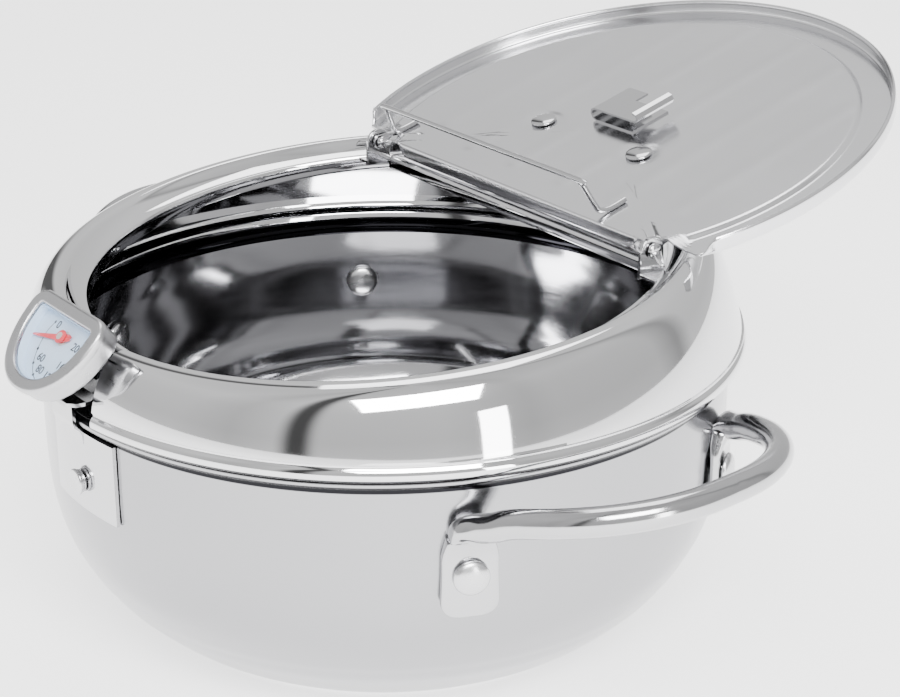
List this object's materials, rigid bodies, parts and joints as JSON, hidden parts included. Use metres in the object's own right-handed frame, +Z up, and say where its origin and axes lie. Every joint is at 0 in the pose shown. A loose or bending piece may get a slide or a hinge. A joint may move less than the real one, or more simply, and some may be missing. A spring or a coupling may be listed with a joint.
{
  "type": "deep fryer pot",
  "caption": "Round steel stovetop frying pot with two loop handles, a domed ring cover, a hinged fold-back drain lid and a dial thermometer with a probe.",
  "frame": {"origin": "centre of the flat underside of the base disc, on the worktop", "axes": "+Z up along the pot's axis; the user stands at -Y, where the thermometer is; the lid's hinge is toward +Y; +X is to the user's right, with one side handle near +X and one near -X"},
  "size_m": [0.3352, 0.3485, 0.1847],
  "materials": {
    "satin_steel": "satin, brushed round the wall",
    "bright_steel": "polished",
    "mirror_steel": "mirror polished",
    "rivet_steel": "satin",
    "wire_steel": "polished drawn wire",
    "case_steel": "satin, pressed",
    "lens": "clear",
    "dial": "matt print on pale enamel",
    "bimetal": "plain drawn strip",
    "pointer_red": "semi-gloss red"
  },
  "bodies": {
    "pot": {"pot_body": "satin_steel", "base_disc": "satin_steel", "handle_right": "bright_steel", "handle_left": "bright_steel", "handle_rivet_right_front": "rivet_steel", "handle_rivet_right_rear": "rivet_steel", "handle_rivet_left_rear": "rivet_steel", "handle_rivet_left_front": "rivet_steel", "thermometer_bracket": "bright_steel", "bracket_rivet": "rivet_steel"},
    "cover": {"ring_cover": "mirror_steel", "hinge_pin_left": "bright_steel", "hinge_pin_right": "bright_steel"},
    "lid": {"lid_plate": "bright_steel", "lid_handle": "bright_steel", "lid_rivet_1": "rivet_steel", "lid_rivet_2": "rivet_steel", "lid_clip": "bright_steel", "wire_fence": "wire_steel"},
    "thermometer": {"thermometer_housing": "case_steel", "thermometer_bezel": "case_steel", "dial_lens": "lens", "dial_plate": "dial", "stem_collar": "bright_steel", "probe_stem": "bright_steel", "bimetal_coil": "bimetal"},
    "indicator": {"pointer": "pointer_red", "pointer_hub": "pointer_red", "pointer_staff": "bright_steel"}
  },
  "joints": [
    {"name": "cover_lift", "type": "slide", "parent": "pot", "child": "cover", "axis": [0, 0, 1], "range_m": [0, 0.06]},
    {"name": "lid_hinge", "type": "hinge", "parent": "cover", "child": "lid", "pos_m": [0, 0.053, 0.1405], "axis": [1, 0, 0], "range_deg": [0, 170]},
    {"name": "thermometer_lift", "type": "slide", "parent": "cover", "child": "thermometer", "axis": [0, -0.7071, 0.7071], "range_m": [0, 0.115]},
    {"name": "pointer_turn", "type": "hinge", "parent": "thermometer", "child": "indicator", "pos_m": [0, -0.129, 0.13], "axis": [0, -0.7071, 0.7071], "range_deg": [-33, 184], "stiffness_Nm_per_rad": 0.002}
  ]
}
